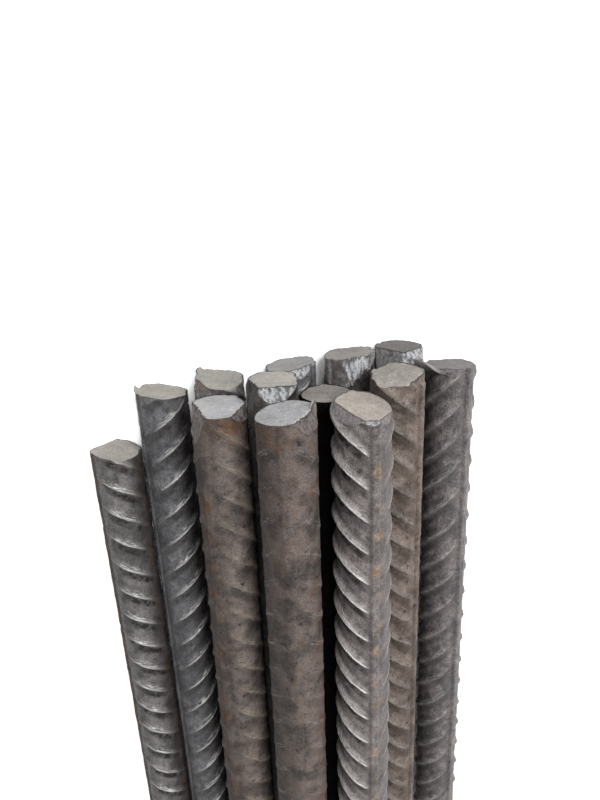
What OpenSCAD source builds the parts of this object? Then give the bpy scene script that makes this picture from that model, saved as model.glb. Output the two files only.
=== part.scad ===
// Bundle of thirteen ribbed reinforcing bars, heaped as they lie on a level floor.
// Millimetres. The bars run along Y with their sheared ends towards -Y, the floor is z = 0 and the
// origin is in the middle of the heap's footprint. Every bar is a piece of its own: a round core with
// two long ribs. The slanting ribs across a bar are fine relief and are left to the visual model,
// so neighbouring cores keep rib_gap between them, the room that those ribs fill.

/* [Bar] */
// Cut length of each bar
bar_length = 1000; // [700:50:1500]
// Diameter of the round core under the ribs, for a nominal 16 mm bar
core_d = 15.4; // [14.5:0.1:16]
// Distance between the cores of two bars that rest on each other's slanting ribs
rib_gap = 0.9; // [0.7:0.1:0.95]
// Width of each of the two long ribs
long_rib_w = 2.4; // [1.8:0.1:3.2]
// Height of each long rib over the core, less than rib_gap
long_rib_h = 0.7; // [0.4:0.05:0.75]

/* [Heap, across] */
// Free room between neighbours of the floor row at the sheared ends, from the left: bars 1 2 8 10 11 12 7
near_room = [1.3, 2.6, 6.8, 2.3, 0.05, 0.05]; // 0 to [3, 3, 8, 4.6, 4, 8]
// The same one bar length further back
far_room = [0.05, 0.05, 1, 4.5, 4, 7.5]; // 0 to [3, 3, 8, 4.6, 4, 8]
// Lean of bar 9 to the left over bar 10 under it, in degrees from upright
lean_9 = 19.7; // [16:0.1:23]
// The same of bar 6 over bar 12
lean_6 = 11.7; // [7:0.1:14]
// Lean of bar 4 to the right over bar 9 under it
lean_4 = 14.6; // [11:0.1:18]

/* [Sheared ends] */
// Thickness of the burrs and the shard that the shear blades drew out over the cut faces
burr_t = 0.9; // [0.6:0.1:1.4]
// Width of those burrs at the foot
burr_w = 4; // [3:0.5:6]
// Width of the long shard on bar 7 at its foot
shard_w = 7; // [5:0.5:8]

/* [Hidden] */
$fa = 7.5;
$fs = 0.5;
core_r = core_d / 2;
rib_r = core_r + long_rib_h;          // outside of a long rib
contact = core_d + rib_gap;           // centre distance of two bars that touch

// How far behind the foremost cut the near cross-section of the heap is taken
datum = 18;

// x of the floor row's axes, bars 1, 2, 8, 10, 11, 12 and 7 from the left, from that of bar 10
function row(room) =
    let (x8 = contact + room[2], x2 = x8 + contact + room[1], x11 = -contact - room[3],
         x12 = x11 - contact - room[4])
    [x2 + contact + room[0], x2, x8, 0, x11, x12, x12 - contact - room[5]];

// Centre of a bar that lies on bars a and b, with a on the left
function seat(a, b) =
    let (m = (a + b) / 2, v = a - b, d = norm(v), k = sqrt(contact * contact - d * d / 4))
    [m[0] - v[1] / d * k, m[1] + v[0] / d * k];

// Centre of a bar that lies on bar a and leans to its left from upright
function over(a, lean) = a + contact * [sin(lean), cos(lean)];

// Centres [x, z] of bars 1 to 13 in one cross-section, from the rooms in the floor row. Bars 4, 6
// and 9 lie near the crest of the bar under them: the slanting ribs catch in each other.
function section(room) =
    let (
        f = row(room),
        b1 = [f[0], core_r], b2 = [f[1], core_r], b8 = [f[2], core_r], b10 = [f[3], core_r],
        b11 = [f[4], core_r], b12 = [f[5], core_r], b7 = [f[6], core_r],
        b9 = over(b10, lean_9), b3 = seat(b8, b9), b13 = seat(b9, b11),
        b6 = over(b12, lean_6), b5 = seat(b13, b6), b4 = over(b9, -lean_4)
    )
    [b1, b2, b3, b4, b5, b6, b7, b8, b9, b10, b11, b12, b13];

near = section(near_room);
far = section(far_room);

// One row per bar, 1 to 13: how far its cut stands back from the foremost one, the turn of its long
// ribs, the lean of the cut up and to the left, and its chamfers, each as [direction round the bar,
// share of the core's radius at which it leaves a square cut, lean from square].
ends = [
    // setback, turn, lean up, lean left, chamfers
    [31.4, 24, 4, -10, [[80, 0.935, 60], [-35, 0.857, 45]]],
    [11.4, 24, 1, -7, [[75, 0.922, 55], [252, 0.87, 62]]],
    [11.5, 60, 6, -2, [[28, 0.753, 77], [118, 0.93, 40], [157, 0.805, 60]]],
    [8.6, 84, 3, 6, [[146, 0.818, 68]]],
    [8.7, 110, 11, -7, [[55, 0.67, 45], [140, 0.857, 70]]],
    [3.6, 150, 11, 4, [[129, 0.753, 50]]],
    [5.7, 128, -3, 0, [[70, 0.935, 50], [268, 0.9, 62]]],
    [7.8, 30, 10, -6, [[50, 0.779, 45], [266, 0.88, 65]]],
    [4.1, 35, 5, 0, [[28, 0.727, 72], [95, 0.62, 58], [268, 0.9, 60]]],
    [3.7, 160, 2, 8, [[112, 0.818, 68], [262, 0.88, 62]]],
    [0.8, 30, 0, 5, [[104, 0.779, 76], [268, 0.86, 62]]],
    [0, 150, 6.6, -1.2, [[62, 0.3, 60], [118, 0.35, 62]]],
    [9.3, 95, 2, 0, [[90, 0.909, 60]]]
];
// How deep a burr's foot sits under the cut
burr_foot = core_d / 5;
// Burrs that the shear drew out: the bar, the direction round it and the height over the cut
burrs = [[2, 8, 1.6], [4, 188, 1.6], [8, -30, 1.4], [9, 6, 3]];
// How deep a shard's foot sits inside the rim
shard_foot = core_d / 4;
// Shards, thin like the burrs but drawn out past the rim: the bar, the direction round it, the
// height over the cut and the reach over the rim
shards = [[7, 36, 4.2, 7]];

// How far a bar at its turn reaches sideways from its axis
function reach(turn) =
    let (t = min(abs(turn), 180 - abs(turn)), half = asin(long_rib_w / 2 / rib_r))
    max(core_r, rib_r * cos(max(0, t - half)));
// Where the foremost point of a leaning cut stands
function front(e) = e[0] - core_r * norm([tan(e[2]), tan(e[3])]);

count = len(ends);
mid_x = (near[0][0] + reach(ends[0][1]) + far[6][0] - reach(ends[6][1])) / 2;
mid_y = (min([for (e = ends) front(e)]) + max([for (e = ends) e[0]]) + bar_length) / 2;
name = [for (i = [1 : count]) str("bar_", i < 10 ? "0" : "", i)];

// Cross-section of a bar at its own turn: the core and the two long ribs.
module profile(turn) {
    circle(r = core_r);
    intersection() {
        circle(r = rib_r);
        rotate(turn) square([3 * core_r, long_rib_w], center = true);
    }
}

// Everything beyond a plane across the bar. It crosses the axis at height h and faces the
// direction az round the bar, leaning that way from the axis.
module beyond(az, lean, h) {
    translate([0, 0, h]) rotate([0, 0, az]) rotate([0, lean, 0])
        translate([-6 * core_d, -6 * core_d, 0]) cube(12 * core_d);
}

// A thin pointed lip that stands over the cut at the rim in the direction az.
module burr(az, height) {
    rotate([0, 0, az]) translate([core_r - burr_t, 0, 0]) rotate([90, 0, 90])
        linear_extrude(height = burr_t)
            polygon([[-burr_w / 2, -burr_foot], [burr_w / 2, -burr_foot],
                     [burr_w / 8, height], [-burr_w / 8, height]]);
}

// A thin pointed shard that rises from the cut and hangs out past the rim in the direction az.
module shard(az, height, reach) {
    rotate([0, 0, az]) translate([core_r, 0, -burr_t]) rotate([0, -atan(height / reach), 0])
        linear_extrude(height = burr_t)
            polygon([[-shard_foot, -shard_w / 2], [norm([reach, height]), -shard_w / 12],
                     [norm([reach, height]), shard_w / 12], [-shard_foot, shard_w / 2]]);
}

// One bar in its own frame: the axis is z, the sheared end is at the top with its cut through the
// origin, and the plain end is bar_length lower.
module bar_solid(i) {
    e = ends[i];
    difference() {
        translate([0, 0, -bar_length]) linear_extrude(height = bar_length + core_d) profile(e[1]);
        rotate([-e[2], e[3], 0]) beyond(0, 0, 0);
        for (c = e[4]) beyond(c[0], c[2], c[1] * core_r * tan(c[2]));
    }
    for (b = burrs) if (b[0] == i + 1) burr(b[1], b[2]);
    for (b = shards) if (b[0] == i + 1) shard(b[1], b[2], b[3]);
}

// Lays bar i in its place in the heap, along the line from its near to its far centre.
module bar(i) {
    dx = (far[i][0] - near[i][0]) / bar_length;
    dz = (far[i][1] - near[i][1]) / bar_length;
    translate([near[i][0] - mid_x, datum - mid_y, near[i][1]])
        rotate([atan(dz), 0, -atan(dx)])
            translate([0, ends[i][0] - datum, 0]) rotate([90, 0, 0]) bar_solid(i);
}

module bar_01() color([0.42, 0.42, 0.42]) bar(0);
module bar_02() color([0.36, 0.38, 0.41]) bar(1);
module bar_03() color([0.47, 0.43, 0.39]) bar(2);
module bar_04() color([0.47, 0.44, 0.41]) bar(3);
module bar_05() color([0.46, 0.45, 0.44]) bar(4);
module bar_06() color([0.46, 0.42, 0.38]) bar(5);
module bar_07() color([0.40, 0.41, 0.43]) bar(6);
module bar_08() color([0.40, 0.37, 0.34]) bar(7);
module bar_09() color([0.40, 0.40, 0.40]) bar(8);
module bar_10() color([0.37, 0.38, 0.40]) bar(9);
module bar_11() color([0.42, 0.41, 0.40]) bar(10);
module bar_12() color([0.43, 0.42, 0.41]) bar(11);
module bar_13() color([0.36, 0.37, 0.38]) bar(12);

bar_01();
bar_02();
bar_03();
bar_04();
bar_05();
bar_06();
bar_07();
bar_08();
bar_09();
bar_10();
bar_11();
bar_12();
bar_13();
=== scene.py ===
"""Looks of a heap of thirteen ribbed reinforcing bars: rolled ribs, sheared ends and bare steel.

Sizes are millimetres and degrees until a mesh is written, when lengths become metres. A bar's own
axes are u to the left as the camera sees the heap, v up, and s along the bar towards its sheared
end, which stands at s = 0. Azimuths run round the bar from u towards v, and depth is -s.
"""

import logging
import math
from dataclasses import dataclass, field, replace
from enum import Enum
from functools import partial
from itertools import product

import bpy
import numpy as np
from mathutils import Matrix, Vector


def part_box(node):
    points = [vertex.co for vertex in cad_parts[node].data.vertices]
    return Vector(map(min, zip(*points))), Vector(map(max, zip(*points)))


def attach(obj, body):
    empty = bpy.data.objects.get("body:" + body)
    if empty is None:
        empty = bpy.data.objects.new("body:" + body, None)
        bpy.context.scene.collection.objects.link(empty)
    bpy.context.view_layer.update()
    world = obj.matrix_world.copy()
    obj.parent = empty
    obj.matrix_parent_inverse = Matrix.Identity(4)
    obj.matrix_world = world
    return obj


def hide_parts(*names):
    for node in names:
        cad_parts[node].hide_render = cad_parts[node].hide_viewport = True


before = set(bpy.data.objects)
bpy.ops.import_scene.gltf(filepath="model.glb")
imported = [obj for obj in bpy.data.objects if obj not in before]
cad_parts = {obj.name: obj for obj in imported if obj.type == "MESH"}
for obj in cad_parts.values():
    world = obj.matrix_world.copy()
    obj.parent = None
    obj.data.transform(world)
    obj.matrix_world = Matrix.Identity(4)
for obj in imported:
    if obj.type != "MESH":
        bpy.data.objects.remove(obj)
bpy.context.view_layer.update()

LOG = logging.getLogger("rebar")
Array = np.ndarray
Floats = tuple[float, ...]
Socket = bpy.types.NodeSocket
Tree = bpy.types.NodeTree

# Blender's names of the nodes that come often
MATH, MIX, RAMP = "ShaderNodeMath", "ShaderNodeMix", "ShaderNodeMapRange"
NOISE, MAPPING, SPLIT = "ShaderNodeTexNoise", "ShaderNodeMapping", "ShaderNodeSeparateXYZ"

# Sockets of a mix node by number, and options. A math node's inputs are given in a row, and so are
# a ramp's: its value, the low and the high end of that, and what the ramp makes of the two ends.
FACTOR, A, B, MIXED = 0, 6, 7, 2
BLEND = {"data_type": "RGBA"}
TIMES = {"data_type": "RGBA", "blend_type": "MULTIPLY"}
SMOOTH = {"interpolation_type": "SMOOTHSTEP"}
PRODUCT, SUM, HIGHER = {"operation": "MULTIPLY"}, {"operation": "ADD"}, {"operation": "MAXIMUM"}
SIZE = {"operation": "ABSOLUTE"}

BAR_LENGTH = 1000.0
CORE_R = 7.7
LONG_RIB_H = 0.7
CONTACT = 16.3  # centre distance of two bars that rest on each other
DATUM = 18.0  # how far behind the foremost cut the near cross-section is taken
MM = 0.001


def linear(code: str) -> Floats:
    """Turns an sRGB hex colour into linear light.

    Args:
        code: six hex digits after a hash.

    Returns:
        Linear red, green and blue, and an alpha of one.
    """
    levels = [int(code[i : i + 2], 16) / 255 for i in (1, 3, 5)]
    return (*(x / 12.92 if x <= 0.04045 else ((x + 0.055) / 1.055) ** 2.4 for x in levels), 1.0)


def points(u: Array, v: Array, s: Array) -> Array:
    """Lists a grid's points, ring after ring, as rows of u, v and s."""
    return np.stack([u, v, s], axis=-1).reshape(-1, 3)


def ease(x: Array) -> Array:
    """Smooth step: 0 below 0, 1 above 1, and 3x^2 - 2x^3 between."""
    x = np.clip(x, 0, 1)
    return x * x * (3 - 2 * x)


def lumps(places: Array, grain: float, seed: int) -> Array:
    """Smooth noise whose lumps are about one grain across.

    Each corner of a cubic lattice gets a fixed value from a hash of its whole-number place, and a
    point takes the eased blend of the eight corners around it.

    Args:
        places: points in millimetres, the last axis being x, y and z.
        grain: lattice spacing in millimetres.
        seed: which noise, a whole number.

    Returns:
        A value between -1 and 1 for each point.
    """
    cell = places / grain
    base = np.floor(cell).astype(np.int64)
    part = ease(cell - base)
    total = np.zeros(places.shape[:-1])
    for corner in product((0, 1), repeat=3):
        key = (base + corner) @ np.array([73856093, 19349663, 83492791]) + seed * 2654435761
        key = (key ^ (key >> 13)) * 1274126177 & 0x7FFFFFFF
        key = (key ^ (key >> 16)) * 40503 & 0xFFFF
        weight = np.where(corner, part, 1 - part).prod(axis=-1)
        total += weight * (key / 32767.5 - 1)
    return total


class Tear(Enum):
    """What a facet beside the cut looks like."""

    CUT = (1.0, 0.0, 0.0, 0.0)  # as the cut itself
    BRIGHT = (0.0, 1.0, 0.0, 0.0)  # freshly smeared steel
    RUSTY = (0.0, 0.0, 0.7, 0.5)  # rust film
    PRESSED = (0.0, 0.0, 0.0, 1.0)  # mill surface pressed flat by the blade


@dataclass(frozen=True)
class Facet:
    """A flat that the shear pressed or tore beside the cut.

    It faces azimuth, leaves a square cut at share of the core's radius, and leans from square.
    """

    azimuth: float
    share: float
    lean: float
    look: Tear = Tear.PRESSED


@dataclass(frozen=True)
class Burr:
    """A thin lip at the rim of the cut, standing up by height and out by reach."""

    azimuth: float
    height: float
    reach: float = 0.0
    width: float = 4.0
    thickness: float = 0.9


@dataclass(frozen=True)
class ShearedEnd:
    """The cut end of a bar: a leaning cut, the facets beside it and its burrs."""

    lean_up: float
    lean_left: float
    facets: tuple[Facet, ...]
    burrs: tuple[Burr, ...] = ()
    grit: float = 0.14
    seed: int = 1
    crease: float = 0.12

    def surface(self, u: Array, v: Array) -> tuple[Array, Array]:
        """Height of the end over the square datum, and what each point of it looks like.

        The height is the lowest of the cut's plane and the facets' planes, rounded between them
        by a soft minimum as wide as crease, plus the grain of the torn cut.

        Args:
            u: distances to the left of the axis.
            v: distances above the axis.

        Returns:
            The heights, and per point the shares of cut, bright, rusty and pressed surface.
        """
        lip, _ = self.drawn_out(u, v)
        past = np.maximum(np.hypot(u, v) / (CORE_R + 0.5), 1)
        u, v = u / past, v / past
        flat = np.stack([u, v, np.full_like(u, self.seed * 7.3)], axis=-1)
        coarse = lumps(flat, 2.6, self.seed)
        fine = lumps(flat, 0.9, self.seed + 1)
        up, left = math.radians(self.lean_up), math.radians(self.lean_left)
        cut = -math.tan(left) * u - math.tan(up) / math.cos(left) * v
        planes = [cut + self.grit * (coarse + 0.5 * fine)]
        looks = [Tear.CUT.value]
        for facet in self.facets:
            az, slope = math.radians(facet.azimuth), math.tan(math.radians(facet.lean))
            edge = facet.share * CORE_R + 0.05 * coarse + 0.06 * fine
            planes.append(slope * (edge - u * math.cos(az) - v * math.sin(az)))
            looks.append(facet.look.value)
        stack = np.stack(planes)
        lowest = stack.min(axis=0)
        shares = np.exp((lowest - stack) / self.crease)
        total = shares.sum(axis=0)
        height = lowest - self.crease * np.log(total)
        return height + lip, np.einsum("k...,kc->...c", shares / total, np.array(looks, float))

    def drawn_out(self, u: Array, v: Array) -> tuple[Array, Array]:
        """The burrs: blunt triangles along the rim, full at the tip and nothing past the foot.

        Args:
            u: distances to the left of the axis.
            v: distances above the axis.

        Returns:
            How far they stand over the cut, rising outwards, and how far past the rim they reach.
        """
        height, reach = np.zeros_like(u), np.zeros_like(u)
        for burr in self.burrs:
            turn = np.arctan2(v, u) - math.radians(burr.azimuth)
            arc = CORE_R * np.abs(np.arctan2(np.sin(turn), np.cos(turn)))
            full = np.clip(1 - (arc - burr.width / 8) / (burr.width * 0.375), 0, 1)
            past = (np.hypot(u, v) - CORE_R + burr.thickness) / (0.5 + burr.reach)
            height += burr.height * full * np.clip(past, 0, 1)
            reach += burr.reach * full
        return height, reach


@dataclass(frozen=True)
class RibRoll:
    """The slanting ribs that the finishing rolls leave between the two long ribs.

    A rib is a crescent: its crest falls away to nothing at both long ribs, by fullness. Crests
    cross the middle of their row at first + k pitches behind the cut, and run slant millimetres
    down the bar for each millimetre round it, mirrored on the other half of the bar, and bow
    bends them. A rib rises gently on the side of the cut, over rise, and drops steeply behind its
    crest, over drop. In the first row the ribs are worn down to first_row of their height.
    """

    first: float
    slant: float
    height: float = 0.95
    pitch: float = 10.45
    rise: float = 2.6
    drop: float = 1.1
    fullness: float = 3.0
    bow: float = 0.0
    first_row: float = 1.0
    foot: float = 10.0

    def shift(self, turned: Array) -> Array:
        """How far down the bar a crest lies, against the middle of its row.

        Args:
            turned: azimuths counted from the first long rib, in degrees.

        Returns:
            Millimetres: a zigzag that rises over one half of the bar and falls over the other.
        """
        half = np.mod(turned, 360)
        zigzag = np.radians(np.where(half < 180, half - 90, 270 - half))
        return self.slant * CORE_R * zigzag * (1 + self.bow * zigzag)

    def across(self) -> float:
        """Millimetres square across the ribs for each radian of their phase."""
        return self.pitch * math.cos(math.atan(self.slant)) / math.tau

    def relief(self, turned: Array, depth: Array) -> tuple[Array, Array]:
        """Height of the slanting ribs over the core.

        Args:
            turned: azimuths counted from the first long rib, in degrees.
            depth: distances behind the cut.

        Returns:
            The heights, and for each point the cosine and sine of its phase, which is 0 on a
            crest and grows away from the cut, and the crown's share of the full height.
        """
        share = np.clip((np.mod(turned, 180) - self.foot) / (180 - 2 * self.foot), 0, 1)
        crown = 1 - np.abs(2 * share - 1) ** self.fullness
        crown = crown * np.where(np.mod(turned, 360) < 180, self.first_row, 1.0)
        phase = math.tau * (depth - self.shift(turned) - self.first) / self.pitch
        cosine, sine = np.cos(phase), np.sin(phase)
        off = np.arctan2(sine, cosine) * self.across()
        fall = np.where(off < 0, ease(-off / self.rise) ** 1.3, ease((off + 0.1) / self.drop))
        height = self.height * np.maximum(crown - fall, 0)
        return height, np.stack([cosine, sine, crown], axis=-1)


@dataclass(frozen=True)
class Patch:
    """A patch of the rolled surface, or one patch per pitch where pitches is over 0.

    Its rim is soft where strength is at most 1, and the harder the more it is over 1.
    """

    azimuth: float
    depth: float
    half_angle: float
    half_length: float
    strength: float = 1.0
    pitches: int = 0

    def cover(self, azimuth: Array, depth: Array, pitch: float) -> Array:
        """How fully each point is covered: 1 in the middle and 0 past the rim of the patch.

        Patches that come once per pitch waver by sines of their number: by 4 degrees, by 0.12 of
        a pitch, and down to half their strength.

        Args:
            azimuth: azimuths in degrees.
            depth: distances behind the cut.
            pitch: distance between the slanting ribs.

        Returns:
            The cover of each point.
        """
        row = np.clip(np.round((depth - self.depth) / pitch), 0, self.pitches)
        turn = np.radians(azimuth - self.azimuth - 4 * np.sin(1.7 * row))
        across = np.degrees(np.arctan2(np.sin(turn), np.cos(turn))) / self.half_angle
        behind = depth - self.depth - pitch * (row + 0.12 * np.sin(2.9 * row))
        strength = self.strength * (1 - 0.25 * (1 - np.cos(2.4 * row)))
        return strength * np.clip(1.3 - np.hypot(across, behind / self.half_length), 0, 1)


def stripe(azimuth: float, half_angle: float, strength: float = 1.0) -> Patch:
    """A patch that runs down the whole bar."""
    return Patch(azimuth, 500, half_angle, 1500, strength)


def add_node(tree: Tree, kind: str, inputs: dict[str | int, object] | tuple[object, ...],
             output: str | int = 0, **settings: object) -> Socket:
    """Adds a node, sets its options, and fills its inputs with values or links.

    Args:
        tree: the material's or world's node tree.
        kind: Blender's name of the node type.
        inputs: values or other nodes' outputs, by input name or number, or in a row.
        output: name or number of the output that is wanted.
        settings: option names and values.

    Returns:
        That output of the new node.
    """
    made = tree.nodes.new(kind)
    for name, value in settings.items():
        setattr(made, name, value)
    for name, value in inputs.items() if isinstance(inputs, dict) else enumerate(inputs):
        if isinstance(value, Socket):
            tree.links.new(value, made.inputs[name])
        else:
            made.inputs[name].default_value = value
    return made.outputs[output] if made.outputs else None


def add_object(name: str, data: bpy.types.ID) -> bpy.types.Object:
    """Makes an object of its data and links it to the scene.

    Args:
        name: what it is called.
        data: its mesh, lamp or camera.

    Returns:
        The object.
    """
    made = bpy.data.objects.new(name, data)
    bpy.context.scene.collection.objects.link(made)
    return made


def emptied(owner: bpy.types.Material | bpy.types.World) -> Tree:
    """Gives a material or a world an empty node tree.

    Args:
        owner: the material or the world.

    Returns:
        Its node tree.
    """
    owner.use_nodes = True
    owner.node_tree.nodes.clear()
    return owner.node_tree


class Slot(Enum):
    """The three states of steel in the heap, by the record's slots."""

    CLEAN = "clean_mill_scale_steel"
    GREY = "weathered_grey_steel"
    MOTTLED = "rust_mottled_steel"


@dataclass(frozen=True)
class Coat:
    """Hot-rolled carbon steel under mill scale, a thin dark oxide left by the rolling heat.

    dark and light are the scale's two greys, film the share of a thin brown rust film, flecks and
    line the steel worn clean on the flank and the crest of a rib, in a near-white that is partly a
    painted glint, and sheen the share of a painted highlight, in the pale colour, on that flank.
    trough is the near-black deposit behind a crest, which is also painted shade, and pits that in
    lost flakes. cut is the sheared face, and torn the steel smeared beside it. gloss is the
    shader's specular level, lower under soot and painted shade.
    """

    slot: Slot
    dark: str
    light: str
    cut: str
    film: float = 0.2
    flecks: float = 0.5
    line: float = 0.5
    painted_sheen: float = 0.0
    trough: float = 0.6
    pits: float = 0.6
    pale: str = "#8d8886"
    film_tint: str = "#5f4c3e"
    grime_and_shade: str = "#191310"
    bare_and_glint: str = "#dcdad7"
    rust_dark: str = "#3f3129"
    rust_light: str = "#6f5542"
    torn_dark: str = "#5a5a5c"
    torn_light: str = "#a6a7a9"
    roughness: float = 0.5
    gloss: float = 0.5


class CoatLayers:
    """The node tree of one bar's coat, built up in the order in which the steel got its layers.

    The scale gives the eye a half-dull, cloudy dark grey; rust and a dark deposit lie dull in the
    hollows, darkened further by painted shade; worn crests and torn facets glint as clean steel,
    the crests partly by painted glints, and lit flanks carry a painted highlight; the cut is an
    even, fine-grained pale grey.
    """

    def __init__(self, coat: Coat, tree: Tree, across: float) -> None:
        """Adds the noises and the attributes that the layers share.

        The noises have the real sizes of flakes, mottling, grain and streaks in millimetres. The
        grain is really under 0.3 mm, and is drawn at 0.55 mm so that it shows.

        Args:
            coat: what the layers look like.
            tree: the material's empty node tree.
            across: millimetres square across the ribs for each radian of their phase.
        """
        self.coat = coat
        add = self.add = partial(add_node, tree)
        self.place = add("ShaderNodeTexCoord", {}, "Object")
        self.patches, self.mottle, self.grain = (
            add(NOISE, {"Vector": self.place, "Scale": 1000 / size, "Detail": detail,
                        "Roughness": 0.6}) for size, detail in ((8, 3), (2.2, 4), (0.55, 2)))
        along = add(MAPPING, {"Vector": self.place, "Scale": (1, 0.12, 1)})
        self.streak = add(NOISE, {"Vector": along, "Scale": 1000 / 0.8, "Detail": 3})
        self.rubbed_and_glinting = add("ShaderNodeAttribute", {}, "Fac", attribute_name="rubbed_and_glinting")
        noted = [add("ShaderNodeAttribute", {}, "Vector", attribute_name=name)
                 for name in ("wear", "marks", "rib")]
        (self.cut, self.torn, self.rust, self.pressed, self.crease, self.soot_and_shade, cosine, sine,
         self.crown) = (add(SPLIT, {0: values}, k) for values in noted for k in range(3))
        phase = add(MATH, (sine, cosine), operation="ARCTAN2")
        self.off = add(MATH, (phase, across), **PRODUCT)
        self.rub_and_glint_noise = self.rub_and_glint_marks()

    def rub_and_glint_marks(self) -> Socket:
        """Noise drawn out along the crests: 0.3 mm across a rib, 2 mm along it and new on each.

        Returns:
            The noise.
        """
        x, y = (self.add(SPLIT, {0: self.place}, k) for k in range(2))
        scales = enumerate(((x, 1000 / 2.0), (self.off, 1 / 0.3), (y, 1000 / 5.0)))
        drawn = self.add("ShaderNodeCombineXYZ", {
            k: self.add(MATH, (way, scale), **PRODUCT) for k, (way, scale) in scales})
        return self.add(NOISE, {"Vector": drawn, "Scale": 1.0, "Detail": 2})

    def shaded(self, colour: Socket | Floats,
               noises: tuple[tuple[Socket, float, float], ...]) -> Socket:
        """Shades a colour by noises, each between a darker and a lighter factor.

        Args:
            colour: the colour.
            noises: each noise with its two factors.

        Returns:
            The shaded colour.
        """
        for noise, low, high in noises:
            shade = self.add(RAMP, (noise, 0.3, 0.7, low, high))
            colour = self.add(MIX, {FACTOR: 1.0, A: colour, B: shade}, MIXED, **TIMES)
        return colour

    def scale(self) -> Socket:
        """Mill scale: two greys in flakes, under a brown film where the noises are high.

        Returns:
            Its colour, shaded by mottling, grain and streaks.
        """
        add, coat = self.add, self.coat
        flakes = add(RAMP, (self.patches, 0.4, 0.6), **SMOOTH)
        body = {FACTOR: flakes, A: linear(coat.dark), B: linear(coat.light)}
        body = add(MIX, body, MIXED, **BLEND)
        body = self.shaded(body, ((self.mottle, 0.58, 1.42), (self.grain, 0.66, 1.34),
                                  (self.streak, 0.84, 1.16)))
        broad = self.patches
        for noise in (self.mottle, self.streak):
            broad = add(MATH, (broad, noise), **SUM)
        film = add(RAMP, (broad, 1.32, 1.68, 0, coat.film), **SMOOTH)
        return add(MIX, {FACTOR: film, A: body, B: linear(coat.film_tint)}, MIXED, **BLEND)

    def dirt_and_shade(self) -> Socket:
        """Near-black in pits, 1.9 mm behind the crests, beside the long ribs and under soot.

        Pits are where flakes were lost; behind the crests it is a dark deposit and also painted
        shade, and under soot it is dark scale and also painted shade.

        Returns:
            Its share.
        """
        add, coat = self.add, self.coat
        dots = add(NOISE, {"Vector": self.place, "Scale": 1000 / 2.6, "Detail": 3})
        pits = add(RAMP, (dots, 0.62, 0.74, 0, coat.pits), **SMOOTH)
        behind = add(MATH, (self.off, -1.9), **SUM)
        behind = add(MATH, (behind,), **SIZE)
        behind = add(RAMP, (behind, 0.4, 2.1, coat.trough, 0.0), **SMOOTH)
        uneven, clouded = (
            add(RAMP, (self.mottle, low, high, thin, thick))
            for low, high, thin, thick in ((0.4, 0.58, 0.35, 1.15), (0.36, 0.6, 0.6, 1.1)))
        for share in (self.crown, uneven):
            behind = add(MATH, (behind, share), **PRODUCT)
        beside = add(MATH, (self.crease, 0.45), **PRODUCT)
        total = add(MATH, (self.soot_and_shade, beside), **HIGHER)
        total = add(MATH, (total, clouded), **PRODUCT)
        total = add(MATH, (behind, total), **HIGHER)
        return add(MATH, (pits, total), use_clamp=True, **HIGHER)

    def painted_sheen(self) -> Socket:
        """Painted highlight: a paler flank of each rib, on the side that faces the cut and the
        lamp.

        Returns:
            Its share.
        """
        add = self.add
        total = add(RAMP, (self.off, -2.6, -0.2, 0, self.coat.painted_sheen), **SMOOTH)
        before = add(RAMP, (self.off, 0.15, 0.5, 1.0, 0.0), **SMOOTH)
        uneven = add(RAMP, (self.mottle, 0.36, 0.56, 0.45))
        for share in (before, uneven, self.crown):
            total = add(MATH, (total, share), **PRODUCT)
        return total

    def bare_and_glint(self) -> Socket:
        """Steel worn clean, and painted glints: a broken near-white line along each crest, and
        short streaks before it.

        Returns:
            Its share.
        """
        add, coat = self.add, self.coat
        crest = add(MATH, (self.off, 0.15), **SUM)
        crest = add(MATH, (crest,), **SIZE)
        line = add(RAMP, (crest, 0.16, 0.62, coat.line, 0.0), **SMOOTH)
        broken = add(RAMP, (self.rub_and_glint_noise, 0.34, 0.54, 0.35))
        line = add(MATH, (line, broken), **PRODUCT)
        flank = add(RAMP, (self.off, -2.4, -0.3), **SMOOTH)
        before = add(MATH, (self.off, 0.45), operation="LESS_THAN")
        streaks = add(RAMP, (self.rub_and_glint_noise, 0.5, 0.64, 0, coat.flecks), **SMOOTH)
        for share in (before, streaks):
            flank = add(MATH, (flank, share), **PRODUCT)
        total = add(MATH, (line, flank), **HIGHER)
        full = add(RAMP, (self.crown, 0.2, 0.8), **SMOOTH)
        for share in (full, self.rubbed_and_glinting):
            total = add(MATH, (total, share), **PRODUCT)
        return total

    def rusting(self) -> Socket:
        """Rust in its patches, broken up by the mottling.

        Returns:
            Its share.
        """
        add = self.add
        uneven = add(RAMP, (self.mottle, 0.36, 0.6, 0.4, 1.3))
        total = add(MATH, (self.rust, uneven), **PRODUCT)
        return add(RAMP, (total, 0.15, 1.0, 0, 0.85), **SMOOTH)

    def sheared(self) -> Socket:
        """The cut: fine-grained torn steel, in faint patches and streaks of the blade.

        Its grain is really about 0.2 mm, and is drawn at 0.9 mm so that it shows.

        Returns:
            Its colour.
        """
        add = self.add
        fine = add(NOISE, {
            "Vector": self.place, "Scale": 1000 / 0.9, "Detail": 5, "Roughness": 0.65})
        stretched = add(MAPPING, {
            "Vector": self.place, "Scale": (0.18, 1, 1), "Rotation": (0, 0.5, 0)})
        drag = add(NOISE, {"Vector": stretched, "Scale": 1000 / 1.1, "Detail": 3})
        return self.shaded(linear(self.coat.cut), (
            (fine, 0.78, 1.2), (drag, 0.91, 1.08), (self.patches, 0.82, 1.14)))

    def smeared(self) -> Socket:
        """The paler, brighter steel on a torn facet: wide soft streaks down the bar.

        Returns:
            Its share.
        """
        long = self.add(MAPPING, {"Vector": self.place, "Scale": (1, 0.35, 1)})
        wide = self.add(NOISE, {"Vector": long, "Scale": 1000 / 0.9, "Detail": 4})
        return self.add(RAMP, (wide, 0.36, 0.62), **SMOOTH)

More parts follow.
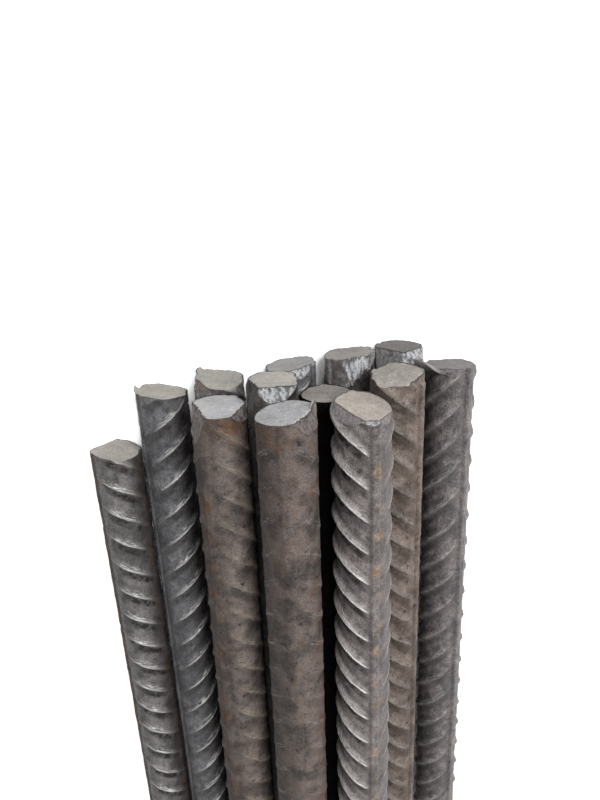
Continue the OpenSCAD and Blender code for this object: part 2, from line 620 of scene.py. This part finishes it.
    def build(self) -> None:
        """Lays the layers over each other and feeds them to one shader.

        Bare and smeared steel is metal and glossier, the scale half-dull, rust and the cut dull.
        """
        add, coat = self.add, self.coat
        bare_and_glint, rusting, smeared = self.bare_and_glint(), self.rusting(), self.smeared()
        torn = add(RAMP, (self.torn, 0.4, 0.6), **SMOOTH)
        face = add(RAMP, (self.cut, 0.42, 0.58), **SMOOTH)
        streaked, mottled = (add(RAMP, (noise, 0.35, 0.65), **SMOOTH)
                             for noise in (self.streak, self.mottle))
        flattened, rust, smear = (
            add(MIX, {FACTOR: share, A: linear(dark), B: linear(light)}, MIXED, **BLEND)
            for share, dark, light in ((streaked, coat.dark, coat.light),
                                       (mottled, coat.rust_dark, coat.rust_light),
                                       (smeared, coat.torn_dark, coat.torn_light)))
        body = self.scale()
        for share, layer in ((self.painted_sheen(), linear(coat.pale)), (self.pressed, flattened),
                             (self.dirt_and_shade(), linear(coat.grime_and_shade)), (rusting, rust),
                             (bare_and_glint, linear(coat.bare_and_glint)), (torn, smear), (face, self.sheared())):
            body = add(MIX, {FACTOR: share, A: body, B: layer}, MIXED, **BLEND)
        # Painted shade: a dark line at the rim of the cut, where its share runs out
        rim = add(MATH, (self.cut, -0.42), **SUM)
        rim = add(MATH, (rim,), **SIZE)
        rim = add(RAMP, (rim, 0.08, 0.36, 0.3), **SMOOTH)
        body = add(MIX, {FACTOR: 1.0, A: body, B: rim}, MIXED, **TIMES)

        shine = add(MATH, (torn, smeared), **PRODUCT)
        shine = add(MATH, (shine, 0.45), **PRODUCT)
        shine = add(MATH, (shine, bare_and_glint), **HIGHER)
        metal = add(RAMP, (shine, 0, 1, 0.08, 0.6))
        rough = add(RAMP, (shine, 0, 1, coat.roughness, 0.34))
        dull = add(MATH, (rusting, face), **HIGHER)
        dull = add(MATH, (dull, 0.25), **PRODUCT)
        rough = add(MATH, (rough, dull), **SUM)
        height = add(MATH, (self.grain, self.mottle), **SUM)
        bump = add("ShaderNodeBump", {"Strength": 0.8, "Distance": 0.5 * MM, "Height": height})
        shader = add("ShaderNodeBsdfPrincipled", {
            "Base Color": body, "Metallic": metal, "Roughness": rough, "Normal": bump,
            "Specular IOR Level": coat.gloss})
        add("ShaderNodeOutputMaterial", {"Surface": shader})


@dataclass(frozen=True)
class BarMake:
    """What sets one bar of the heap apart from the others.

    Its ribs are worn bright, with painted glints where the lamp catches them, in the patches of
    that name, or all over where there are none.
    swell is how much thicker than the others it came out of the rolls, and front how far behind
    the cut its mesh is fine.
    """

    number: int
    setback: float
    turn: float
    end: ShearedEnd
    ribs: RibRoll
    coat: Coat
    rust: tuple[Patch, ...] = ()
    # Dark scale and painted shade: darkens a bar's side by a neighbour or away from the lamp
    soot_and_shade: tuple[Patch, ...] = ()
    rubbed_and_glinting: tuple[Patch, ...] = ()
    swell: float = 0.0
    long_rib: float = LONG_RIB_H
    front: float = 190.0


@dataclass
class RibbedBar:
    """One bar, from the middle of its sheared end to the middle of its plain end.

    The surface is a run of closed rings from pole to pole: rings over the cut, rings down the
    rolled surface that follow the slanting ribs, coarser past the front stretch, and rings over
    the plain end. The steps say how far before and behind a rib's crest its rings lie, and the
    shares where the rings of an end lie on its radius.
    """

    make: BarMake
    near: Array
    far: Array
    shift: Floats
    fine_columns: int = 96
    coarse_columns: int = 32
    rib_foot: float = 12.2  # degrees from the middle of a long rib to its foot
    rib_flank: float = 6.0  # degrees over which it rises
    settle: float = 38.0  # how far behind the cut all rings follow the ribs
    spacing: float = 0.45  # of the even rings
    rim_steps: Floats = (0.0, 0.18, 0.42)  # first rings behind the rim, then the even ones
    approach: float = 5.2  # how far before the first full rib the even rings end
    apart: float = 0.6  # least room between the fine rings and the coarse ones
    straight: float = 12.0  # stretch before the plain end without ribs
    fine_steps: Floats = (-4.6, -3.7, -2.9, -2.2, -1.5, -0.9, -0.4, 0, 0.35, 0.65, 0.95, 1.3, 1.8,
                          2.6, 3.5, 4.6)
    coarse_steps: Floats = (-2.6, -1.0, 0.0, 1.1, 4.2)
    cut_shares: Floats = (*np.linspace(0.06, 0.87, 12), 0.9, 0.92, 0.94, 0.96, 0.975, 0.99, 1.0)
    plain_shares: Floats = (0.93, 0.6, 0.3)
    rounding: float = 0.14  # of the rim of the cut
    chamfer: float = 0.25  # of the plain end
    looks: dict[str, Array] = field(default_factory=dict)

    def columns(self) -> Array:
        """Spaces the fine columns out, closer together on the long ribs.

        Returns:
            Their azimuths from the first long rib.
        """
        foot = np.linspace(0, self.rib_foot, 7)[:-1]
        flank = np.linspace(self.rib_foot, 180 - self.rib_foot, 37)
        half = np.concatenate([foot, flank, 180 - foot[:0:-1]])
        return np.concatenate([half, half + 180])

    def rim(self, turned: Array, depth: Array, fine: bool) -> tuple[Array, Array]:
        """Radius of the rolled surface: core, long ribs, slanting ribs and mill scale on top.

        Where the two kinds of rib meet, the higher one counts, with the crease between rounded.

        Args:
            turned: azimuths from the first long rib, a row for all rings.
            depth: distances behind the cut, a row per ring.
            fine: whether the grid is close enough to hold the scale's small grain.

        Returns:
            The radii, and each point's place on the slanting ribs, as RibRoll.relief gives it.
        """
        turned = np.broadcast_to(turned, depth.shape)
        away = np.abs(np.mod(turned + 90, 180) - 90)
        long_rib = self.make.long_rib * ease((self.rib_foot - away) / self.rib_flank)
        slanting, on_rib = self.make.ribs.relief(turned, depth)
        step = long_rib - slanting
        around = np.radians(turned)
        radius = CORE_R + self.make.swell
        radius = radius + (long_rib + slanting + np.sqrt(step * step + 0.01) - 0.1) / 2
        place = np.stack([CORE_R * np.cos(around), CORE_R * np.sin(around), depth], axis=-1)
        # A slow waver, then mill scale with grains of 2.4 and 0.9 mm and pits 0.16 mm deep
        seed = self.make.number * 17
        radius += 0.05 * lumps(place, 6.0, seed)
        if fine:
            calm = ease((self.make.front - depth) / 10)
            radius += calm * 0.1 * lumps(place, 2.4, seed + 1)
            radius += calm * 0.05 * lumps(place, 0.9, seed + 2)
            radius -= calm * 0.16 * ease((lumps(place, 1.9, seed + 3) - 0.45) / 0.2)
        return radius, on_rib

    def rolled_rings(self) -> tuple[Array, Array, Array]:
        """Depths and azimuths of the rings down the rolled surface.

        A ring starts parallel to the rim of the cut and turns, over the first stretch, into a
        line that follows the slanting ribs, so that every rib is cut by the same rings.

        Returns:
            Azimuths of the columns, of which every third is a coarse one, then the depths of the
            fine rings and of the coarse rings.
        """
        make, ribs = self.make, self.make.ribs
        turned = self.columns()
        around = np.radians(turned + make.turn)
        start = CORE_R + 0.3
        height, _ = make.end.surface(start * np.cos(around), start * np.sin(around))
        line = ribs.shift(turned)
        first = float(np.mean(-height - line))
        start_rib = math.ceil((first + self.settle - ribs.first) / ribs.pitch)
        full = max(0, math.ceil((make.front - self.settle) / ribs.pitch))
        full = ribs.first + ribs.pitch * (start_rib + np.arange(full))
        # Even rings from the rim to the first full rib, then the same steps over every rib
        length = ribs.first + ribs.pitch * start_rib - self.approach - first
        front = np.linspace(self.rim_steps[-1], length, int(length / self.spacing))
        q = first + np.concatenate([self.rim_steps[:-1], front])
        q = np.concatenate([q, (full[:, None] + self.fine_steps).ravel()])
        blend = ease((q - first) / self.settle)[:, None]
        fine = (1 - blend) * ((q - first)[:, None] - height) + blend * (q[:, None] + line)
        # Coarse steps over the ribs behind those, then rings that straighten to the plain end
        count = math.ceil((BAR_LENGTH - q[-1]) / ribs.pitch) + 2
        next_rib = round((q[-1] - ribs.first) / ribs.pitch)
        crests = ribs.first + ribs.pitch * (next_rib + np.arange(count))
        coarse = (crests[:, None] + self.coarse_steps).ravel()[:, None] + line[::3]
        keep = coarse.min(axis=1) > fine[-1].max() + self.apart
        coarse = coarse[keep & (coarse.max(axis=1) < BAR_LENGTH - self.straight)]
        fade = np.linspace(0, 1, 7)[1:, None]
        close = (1 - fade) * coarse[-1] + fade * BAR_LENGTH
        return turned, fine, np.vstack([coarse, close])

    def build(self) -> bpy.types.Object:
        """Makes the bar's mesh object in its place in the heap.

        Returns:
            The new object, at the origin, with its looks as point attributes.
        """
        make, end = self.make, self.make.end
        turned, fine_depth, coarse_depth = self.rolled_rings()
        fine_r, fine_rib = self.rim(turned, fine_depth, True)
        coarse_r, coarse_rib = self.rim(turned[::3], coarse_depth, False)
        around = np.radians(turned + make.turn)
        # The burrs draw the rim and the first rings of the rolled surface out
        _, lip = end.drawn_out(np.cos(around), np.sin(around))
        edge = fine_r[0] - self.rounding + lip
        fine_r[0] += lip - 0.02
        fine_r[1] += 0.6 * lip
        cap_r = np.array(self.cut_shares)[:, None] * edge
        cap_u, cap_v = cap_r * np.cos(around), cap_r * np.sin(around)
        cap_s, cap_look = end.surface(cap_u, cap_v)
        # Painted shade: the cut's share thins at its rim, where the coat draws a dark line
        cap_look[..., 0] *= 1 - 0.58 * self.rim_shade_line(edge - cap_r, around)
        fine_u, fine_v = fine_r * np.cos(around), fine_r * np.sin(around)
        fine_s = -fine_depth
        # The next rings start just under the rim and never rise over it
        fine_s[0] = end.surface(fine_u[0], fine_v[0])[0] - 0.1
        fine_s[1:3] = np.minimum(fine_s[1:3], fine_s[0] - np.array([[0.15], [0.45]]))
        coarse_u, coarse_v = coarse_r * np.cos(around[::3]), coarse_r * np.sin(around[::3])
        end_u, end_v = (np.outer(self.plain_shares, x[-1]) for x in (coarse_u, coarse_v))
        end_s = np.full(end_u.shape, -BAR_LENGTH - self.chamfer)
        zero = np.zeros(1)  # the poles lie on the axis
        centre_s, centre_look = end.surface(zero, zero)
        places = np.concatenate([
            points(zero, zero, centre_s), points(cap_u, cap_v, cap_s),
            points(fine_u, fine_v, fine_s), points(coarse_u, coarse_v, -coarse_depth),
            points(end_u, end_v, end_s), points(zero, zero, end_s[0, :1])])
        quads, triangles = self.faces(len(cap_r) + len(fine_r), len(coarse_r) + len(end_u))
        self.dress(places, np.concatenate([centre_look, cap_look.reshape(-1, 4)]),
                   np.concatenate([fine_rib.reshape(-1, 3), coarse_rib.reshape(-1, 3)]))
        return self.write(places, quads, triangles)

    def rim_shade_line(self, inside: Array, around: Array) -> Array:
        """Share of a painted shade line at the cut's rim, wider above, on the blade's side.

        Args:
            inside: distances inside the rim.
            around: azimuths, in radians.

        Returns:
            The share, 1 in the line and 0 inside it.
        """
        width = 0.16 + 0.5 * ease(0.3 - 0.9 * np.sin(around))
        return ease((width - inside) / 0.25)

    def dress(self, places: Array, cap: Array, on_rib: Array) -> None:
        """Notes what each point looks like, as the attributes that the coat reads.

        Args:
            places: all points in the bar's own axes, those of the sheared end first.
            cap: shares of cut, bright, rusty and pressed surface on the sheared end.
            on_rib: place on the slanting ribs of the rolled surface's points, which come next.
        """
        make, first, last = self.make, len(cap), len(cap) + len(on_rib)
        azimuth = np.degrees(np.arctan2(places[first:, 1], places[first:, 0]))
        depth = -places[first:, 2]
        wear = np.zeros((len(places), 3))
        wear[:first] = cap[:, :3]
        wear[-1 - len(self.plain_shares) * self.coarse_columns :, 0] = 1
        marks = np.zeros((len(places), 3))
        marks[:first, 0] = cap[:, 3]
        away = np.abs(np.mod(azimuth - make.turn + 90, 180) - 90)
        crease = np.clip(1 - np.abs(away - self.rib_foot - 0.8) / 4, 0, 1)
        marks[first:, 1] = crease * (make.long_rib > 0.5)
        rubbed_and_glinting = np.full((len(places), 1), 0.0 if make.rubbed_and_glinting else 1.0)
        for patches, values in ((make.rust, wear[first:, 2]), (make.soot_and_shade, marks[first:, 2]),
                                (make.rubbed_and_glinting, rubbed_and_glinting[first:, 0])):
            for patch in patches:
                values += patch.cover(azimuth, depth, make.ribs.pitch)
            np.clip(values, 0, 1, out=values)
        rib = np.zeros((len(places), 3))
        rib[:, 0] = -1
        rib[first:last] = on_rib
        self.looks = {"wear": wear, "marks": marks, "rib": rib, "rubbed_and_glinting": rubbed_and_glinting[:, 0]}

    def faces(self, fine_rings: int, coarse_rings: int) -> tuple[Array, Array]:
        """Joins the rings: quads between rings, a fan at each pole and a three-to-one step.

        Args:
            fine_rings: how many fine rings follow the first pole.
            coarse_rings: how many coarse rings follow them, before the last pole.

        Returns:
            Corner numbers of the quads and of the triangles, facing outwards.
        """
        n, m = self.fine_columns, self.coarse_columns
        last_fine, first_coarse = 1 + n * (fine_rings - 1), 1 + n * fine_rings
        a = last_fine + 3 * np.arange(m)
        b = last_fine + (3 * np.arange(m) + 3) % n
        c, d = first_coarse + np.arange(m), first_coarse + np.roll(np.arange(m), -1)
        quads = np.concatenate([
            self.band(1, fine_rings, n), self.band(first_coarse, coarse_rings, m),
            np.stack([a + 1, c, d, a + 2], axis=-1)])
        tail = first_coarse + m * (coarse_rings - 1)
        pole = np.zeros(n, int)
        end = np.full(m, tail + m)
        ring, final = 1 + np.arange(n), tail + np.arange(m)
        triangles = np.concatenate([
            np.stack([pole, ring, np.roll(ring, -1)], axis=-1),
            np.stack([a, c, a + 1], axis=-1), np.stack([a + 2, d, b], axis=-1),
            np.stack([final, end, np.roll(final, -1)], axis=-1)])
        return quads, triangles

    def band(self, first: int, count: int, width: int) -> Array:
        """Quads between neighbouring rings of a run.

        Args:
            first: number of the run's first point.
            count: how many rings the run has.
            width: how many points a ring has.

        Returns:
            Corner numbers, a row per quad.
        """
        ring = first + width * np.arange(count - 1)[:, None]
        here, beside = np.arange(width), np.roll(np.arange(width), -1)
        quad = [ring + here, ring + width + here, ring + width + beside, ring + beside]
        return np.stack(quad, axis=-1).reshape(-1, 4)

    def placed(self, places: Array) -> Array:
        """Lays points of the bar's own axes in the heap: along the line from near to far centre.

        Args:
            places: u, v and s in millimetres.

        Returns:
            x, y and z in metres.
        """
        dx, dz = (self.far - self.near) / BAR_LENGTH
        tilt, yaw = math.atan(dz), -math.atan(dx)
        y = self.make.setback - DATUM - places[:, 2]
        x, z = places[:, 0], places[:, 1]
        y, z = y * math.cos(tilt) - z * math.sin(tilt), y * math.sin(tilt) + z * math.cos(tilt)
        x, y = x * math.cos(yaw) - y * math.sin(yaw), x * math.sin(yaw) + y * math.cos(yaw)
        middle = np.array([self.near[0] - self.shift[0], DATUM - self.shift[1], self.near[1]])
        return (np.stack([x, y, z], axis=-1) + middle) * MM

    def write(self, places: Array, quads: Array, triangles: Array) -> bpy.types.Object:
        """Puts the points and faces into a mesh object with its attributes.

        Args:
            places: points in the bar's own axes.
            quads: corner numbers of the four-sided faces.
            triangles: corner numbers of the three-sided faces.

        Returns:
            The object, linked to the scene.
        """
        mesh = bpy.data.meshes.new(f"ribbed_bar_{self.make.number:02d}")
        mesh.from_pydata(self.placed(places).tolist(), [], quads.tolist() + triangles.tolist())
        mesh.shade_smooth()
        for name, values in self.looks.items():
            kind, data = ("FLOAT_VECTOR", "vector") if values.ndim > 1 else ("FLOAT", "value")
            made = mesh.attributes.new(name, kind, "POINT")
            made.data.foreach_set(data, values.astype(np.float32).ravel())
        mesh.validate()
        return add_object(mesh.name, mesh)


@dataclass(frozen=True)
class Heap:
    """The heap's two cross-sections and the bars that run between them."""

    near_room: Floats = (1.3, 2.6, 6.8, 2.3, 0.05, 0.05)
    far_room: Floats = (0.05, 0.05, 1, 4.5, 4, 7.5)
    lean_9: float = 19.7
    lean_6: float = 11.7
    lean_4: float = 14.6
    shift: Floats = (-2.4585, 515.248)  # x and y of the origin from bar 10 at the foremost cut

    def seat(self, a: Array, b: Array) -> Array:
        """Centre of a bar that lies on two bars: square to the middle of their line of centres.

        Args:
            a: centre of the left one.
            b: centre of the right one.

        Returns:
            Its centre.
        """
        v = a - b
        d = math.hypot(*v)
        k = math.sqrt(CONTACT**2 - d * d / 4)
        return (a + b) / 2 + np.array([-v[1], v[0]]) / d * k

    def over(self, a: Array, lean: float) -> Array:
        """Centre of a bar that lies on bar a and leans to its left from upright."""
        return a + CONTACT * np.array([np.sin(np.radians(lean)), np.cos(np.radians(lean))])

    def section(self, room: Floats) -> list[Array]:
        """Centres x, z of bars 1 to 13 in one cross-section.

        Args:
            room: free room between neighbours of the floor row, from the left.

        Returns:
            Thirteen centres.
        """
        x8 = CONTACT + room[2]
        x2 = x8 + CONTACT + room[1]
        x11 = -CONTACT - room[3]
        x12 = x11 - CONTACT - room[4]
        floor = (x2 + CONTACT + room[0], x2, x8, 0.0, x11, x12, x12 - CONTACT - room[5])
        b1, b2, b8, b10, b11, b12, b7 = (np.array([x, CORE_R]) for x in floor)
        b9 = self.over(b10, self.lean_9)
        b3, b13, b6 = self.seat(b8, b9), self.seat(b9, b11), self.over(b12, self.lean_6)
        b5, b4 = self.seat(b13, b6), self.over(b9, -self.lean_4)
        return [b1, b2, b3, b4, b5, b6, b7, b8, b9, b10, b11, b12, b13]

    def bars(self, makes: tuple[BarMake, ...]) -> list[RibbedBar]:
        """The bars, which are made in the order of their numbers, in their places."""
        sections = zip(self.section(self.near_room), self.section(self.far_room))
        return [RibbedBar(make, *ends, self.shift) for make, ends in zip(makes, sections)]


# Hardly weathered: dark and cool, with ribs rubbed to bright lines that are partly painted glints
CLEAN = Coat(Slot.CLEAN, "#47474a", "#646467", "#8e8d8c", flecks=0.8, line=0.9, film=0.1,
             trough=0.8, gloss=0.4)
# Weathered in the open: paler and duller, with dirt and painted shade behind the ribs
GREY = Coat(Slot.GREY, "#545353", "#737171", "#a8a39d", flecks=0.6, line=0.4, trough=0.75,
            gloss=0.3)
# Damp in store: a brown film and patches of rust make it warm, dull and blotched
MOTTLED = Coat(Slot.MOTTLED, "#4d4846", "#7a7270", "#b2b1b3", flecks=0.15, line=0.0, film=0.55,
               pits=0.8, roughness=0.65, gloss=0.15)

# Painted shade: near-black over the room between the bars, from 9 mm behind a hidden bar's cut on
SHADE_BETWEEN_BARS = Patch(0, 1000, 900, 762, 40)
# Painted shade: the near-black of the shaded gaps
SHADE_BLACK = "#060505"

# Number, setback, turn of the long ribs, end, ribs and coat of each bar, then what is special
MAKES = (
    BarMake(
        1, 31.4, 24, ShearedEnd(4, -10, (Facet(80, 0.935, 60), Facet(-35, 0.857, 45)), seed=11),
        RibRoll(1.9, 0.66, 0.9, bow=0.12),
        replace(GREY, dark="#4f4e4e", light="#777575", cut="#ada8a1", painted_sheen=0.4, flecks=0.95,
                line=0.7, trough=1.0, rust_dark="#33261f", rust_light="#5f4637"),
        rust=(stripe(24, 17, 0.8), stripe(166, 24, 0.5)),
        soot_and_shade=(stripe(162, 40, 0.75), stripe(36, 42, 0.8)), rubbed_and_glinting=(stripe(98, 34),)),
    BarMake(
        2, 11.4, 24,
        ShearedEnd(1, -7, (Facet(75, 0.922, 55), Facet(252, 0.87, 62)), (Burr(8, 1.6, 0.6),),
                   seed=12),
        RibRoll(7.2, -0.76, 1.0, bow=0.05), replace(CLEAN, cut="#a49f98"),
        soot_and_shade=(stripe(152, 42, 0.95), stripe(30, 30, 0.4)), rubbed_and_glinting=(stripe(120, 36),)),
    # Painted light: lighter greys and a shallow trough offset bar 4's shadow on bar 3's right
    BarMake(
        3, 11.5, 60,
        ShearedEnd(6, -2, (Facet(28, 0.753, 77), Facet(118, 0.93, 40, Tear.BRIGHT),
                           Facet(157, 0.805, 60)), seed=13),
        RibRoll(0.8, 0.9, 0.55, bow=0.1),
        replace(MOTTLED, dark="#595452", light="#8b8380", film=0.5, painted_sheen=0.5, trough=0.45,
                pale="#918371", film_tint="#644e3e", rust_light="#735844", cut="#bebdbf"),
        rust=(Patch(118, 3, 60, 6.5, 0.85), Patch(50, 30, 24, 3.8, 0.95, 14)),
        soot_and_shade=(stripe(22, 62, 0.75), stripe(88, 34, 0.16)), swell=0.75),
    BarMake(
        4, 8.6, 84, ShearedEnd(3, 6, (Facet(146, 0.818, 68),), (Burr(188, 1.6),), seed=14),
        RibRoll(4.0, 0.7, 0.25), replace(MOTTLED, trough=0.3),
        rust=(Patch(143, 21.5, 17, 3.8, 0.85, 14), Patch(50, 5, 75, 5, 0.6)),
        soot_and_shade=(stripe(26, 60, 0.68),), swell=0.85, long_rib=0.35),
    BarMake(
        5, 8.7, 110,
        ShearedEnd(11, -7, (Facet(55, 0.67, 45), Facet(140, 0.857, 70),
                            Facet(100, 0.88, 65, Tear.BRIGHT)), seed=15),
        RibRoll(3.5, -0.6, 1.3, rise=2.4, drop=1.0, fullness=6.0, bow=-0.3, first_row=0.45),
        replace(GREY, dark="#605b5a", light="#7d7776", line=1.0, flecks=0.4, painted_sheen=0.85,
                trough=1.0, cut="#aca39b", pale="#9e9896", rust_dark="#6a5546",
                rust_light="#9c8670"),
        rust=(Patch(115, 17.2, 17, 2.9, 0.95, 14),), soot_and_shade=(stripe(158, 36, 0.42),), swell=0.4),
    BarMake(
        6, 3.6, 150, ShearedEnd(11, 4, (Facet(129, 0.753, 50),), seed=16, grit=0.3),
        RibRoll(3.5, -0.75, 0.85, pitch=9.25),
        replace(MOTTLED, dark="#5b514b", light="#80756e", cut="#a7a29b", film=0.35, painted_sheen=0.35)),
    BarMake(
        7, 5.7, 128,
        ShearedEnd(-3, 0, (Facet(70, 0.935, 50), Facet(268, 0.9, 62)), (Burr(36, 4.2, 7.0, 8.0),),
                   seed=17),
        RibRoll(9.35, 0.98, 1.05, rise=3.0, drop=1.8),
        replace(CLEAN, line=0.1, flecks=0.3, dark="#565253", light="#726c6b", cut="#757070",
                trough=0.6, rust_light="#7d5d43"),
        rust=(Patch(150, 500, 26, 420, 0.9),)),
    # Painted shade: bars 8 and 9 turn near-black where they lie in the dark room between the others
    BarMake(
        8, 7.8, 30,
        ShearedEnd(10, -6, (Facet(50, 0.779, 45, Tear.RUSTY), Facet(266, 0.88, 65)),
                   (Burr(-30, 1.4),), seed=18),
        RibRoll(2.0, 0.7), replace(GREY, cut="#a39f99", grime_and_shade=SHADE_BLACK), soot_and_shade=(SHADE_BETWEEN_BARS,),
        front=45),
    # Painted shade: bar 9's greys are darker too, as it lies in shade under bars 3 and 4
    BarMake(
        9, 4.1, 35,
        ShearedEnd(5, 0, (Facet(28, 0.727, 72), Facet(95, 0.62, 58, Tear.BRIGHT),
                          Facet(268, 0.9, 60)), (Burr(6, 3),), seed=19),
        RibRoll(3.0, -0.7),
        replace(GREY, cut="#b4afa8", dark="#3b3938", light="#4d4b4a", gloss=0.1, grime_and_shade=SHADE_BLACK),
        soot_and_shade=(SHADE_BETWEEN_BARS,), front=45),
    BarMake(
        10, 3.7, 160,
        ShearedEnd(2, 8, (Facet(112, 0.818, 68, Tear.BRIGHT), Facet(262, 0.88, 62)), seed=20),
        RibRoll(1.0, 0.7), CLEAN, front=45),
    BarMake(
        11, 0.8, 30,
        ShearedEnd(0, 5, (Facet(104, 0.779, 76, Tear.BRIGHT), Facet(268, 0.86, 62)), seed=21),
        RibRoll(5.0, -0.7), replace(GREY, cut="#8b8782"), front=45),
    BarMake(
        12, 0, 150,
        ShearedEnd(6.6, -1.2, (Facet(62, 0.3, 60), Facet(118, 0.35, 62, Tear.BRIGHT)), seed=22),
        RibRoll(3.5, 0.7), replace(GREY, cut="#65625e"), front=45),
    # Painted shade: bar 13 lies deep in the gap between bars 4 and 5, so its coat is near-black
    BarMake(
        13, 9.3, 95, ShearedEnd(2, 0, (Facet(90, 0.909, 60),), seed=23), RibRoll(2.0, 0.7, 0.4),
        replace(CLEAN, cut="#a29b96", dark="#050505", light="#0a0a0a", film=0.0, flecks=0.0,
                line=0.0, roughness=0.9, gloss=0.05), front=45),
)


@dataclass(frozen=True)
class Studio:
    """White floor, a soft lamp and the camera at the photograph's angle, in metres.

    paint_lit is the floor's paint as it passes light on, and paint_seen as it is seen.
    """

    pitch: float = 19.473
    roll: float = -2.049
    place: Floats = (-0.0002255, -0.564466, 0.192746)
    focal_px: float = 601.546
    frame_px: float = 800.0
    sensor: float = 36.0
    ambient: float = 0.38
    lamp_place: Floats = (-0.55, -1.05, 1.15)
    lamp_aim: Floats = (0, -0.4, 0.02)
    lamp_side: float = 0.8
    lamp_watts: float = 20.5
    floor_z: float = -0.0012
    floor_reach: float = 6.0
    paint_lit: float = 0.5
    paint_seen: float = 2.4

    def camera(self) -> None:
        """Sets up the camera: it looks down on the sheared ends and slightly along the bars."""
        data = bpy.data.cameras.new("camera")
        data.sensor_width = self.sensor
        data.lens = self.sensor * self.focal_px / self.frame_px
        data.clip_start = 0.01
        made = add_object("camera", data)
        pitch = Matrix.Rotation(math.radians(self.pitch), 4, "X")
        roll = Matrix.Rotation(math.radians(180 + self.roll), 4, "Z")
        made.matrix_world = Matrix.Translation(self.place) @ pitch @ roll
        bpy.context.scene.camera = made

    def lamp(self) -> None:
        """Hangs a square soft lamp that faces the middle of the sheared ends."""
        data = bpy.data.lights.new("overhead_softbox", "AREA")
        data.size, data.energy = self.lamp_side, self.lamp_watts
        made = add_object("overhead_softbox", data)
        turn = (Vector(self.lamp_aim) - Vector(self.lamp_place)).to_track_quat("-Z", "Y")
        made.matrix_world = Matrix.Translation(self.lamp_place) @ turn.to_matrix().to_4x4()

    def background(self, tree: Tree) -> Socket:
        """Adds a switch for rays from the camera, in reflections and through glass.

        Args:
            tree: the node tree of the surroundings or the floor.

        Returns:
            1 for such a ray, and 0 for one that only lights.
        """
        seen = add_node(tree, "ShaderNodeLightPath", {}, "Is Camera Ray")
        for kind in ("Is Glossy Ray", "Is Transmission Ray"):
            ray = add_node(tree, "ShaderNodeLightPath", {}, kind)
            seen = add_node(tree, MATH, (seen, ray), **HIGHER)
        return seen

    def world(self) -> None:
        """White surroundings: full strength where they are seen, less as light."""
        world = bpy.data.worlds.new("surroundings")
        tree = emptied(world)
        strength = add_node(tree, RAMP, (self.background(tree), 0, 1, self.ambient))
        back = add_node(tree, "ShaderNodeBackground", {"Color": (1, 1, 1, 1), "Strength": strength})
        add_node(tree, "ShaderNodeOutputWorld", {"Surface": back})
        bpy.context.scene.world = world

    def floor(self) -> None:
        """A wide white floor at the level on which the lowest ribs rest.

        It shows white and still keeps the heap's shadow.
        """
        mesh = bpy.data.meshes.new("floor")
        corners = [(x * self.floor_reach, y * self.floor_reach, self.floor_z)
                   for x, y in ((-1, -1), (1, -1), (1, 1), (-1, 1))]
        mesh.from_pydata(corners, [], [(0, 1, 2, 3)])
        made = add_object("floor", mesh)
        coat = bpy.data.materials.new("matt_white_floor")
        tree = emptied(coat)
        lit, seen = ((level, level, level, 1) for level in (self.paint_lit, self.paint_seen))
        paint = {FACTOR: self.background(tree), A: lit, B: seen}
        paint = add_node(tree, MIX, paint, MIXED, **BLEND)
        matt = add_node(tree, "ShaderNodeBsdfDiffuse", {"Color": paint})
        add_node(tree, "ShaderNodeOutputMaterial", {"Surface": matt})
        made.data.materials.append(coat)

    def build(self) -> None:
        """Makes the whole stage."""
        self.camera()
        self.world()
        self.floor()
        self.lamp()
        bpy.context.scene.view_settings.view_transform = "Standard"


def main() -> None:
    """Builds the stage and the bars, in order, and reports each bar."""
    logging.basicConfig(level=logging.INFO, format="%(message)s")
    Studio().build()
    total = 0
    for bar in Heap().bars(MAKES):
        make = bar.make
        node = f"bar_{make.number:02d}"
        piece = bar.build()
        slot = make.coat.slot.value
        coat = bpy.data.materials.new(f"{slot}_{make.number:02d}")
        CoatLayers(make.coat, emptied(coat), make.ribs.across()).build()
        piece.data.materials.append(coat)
        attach(piece, "root")
        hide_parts(node)
        triangles = len(piece.data.loops) - 2 * len(piece.data.polygons)
        total += triangles
        box = np.array(piece.bound_box)
        drift = np.abs([box.min(axis=0), box.max(axis=0)] - np.array(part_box(node))).max() / MM
        LOG.info("%s: %d triangles, box within %.2f mm of its solid", piece.name, triangles, drift)
    LOG.info("triangles in all: %d", total)


if __name__ == "__main__":
    main()
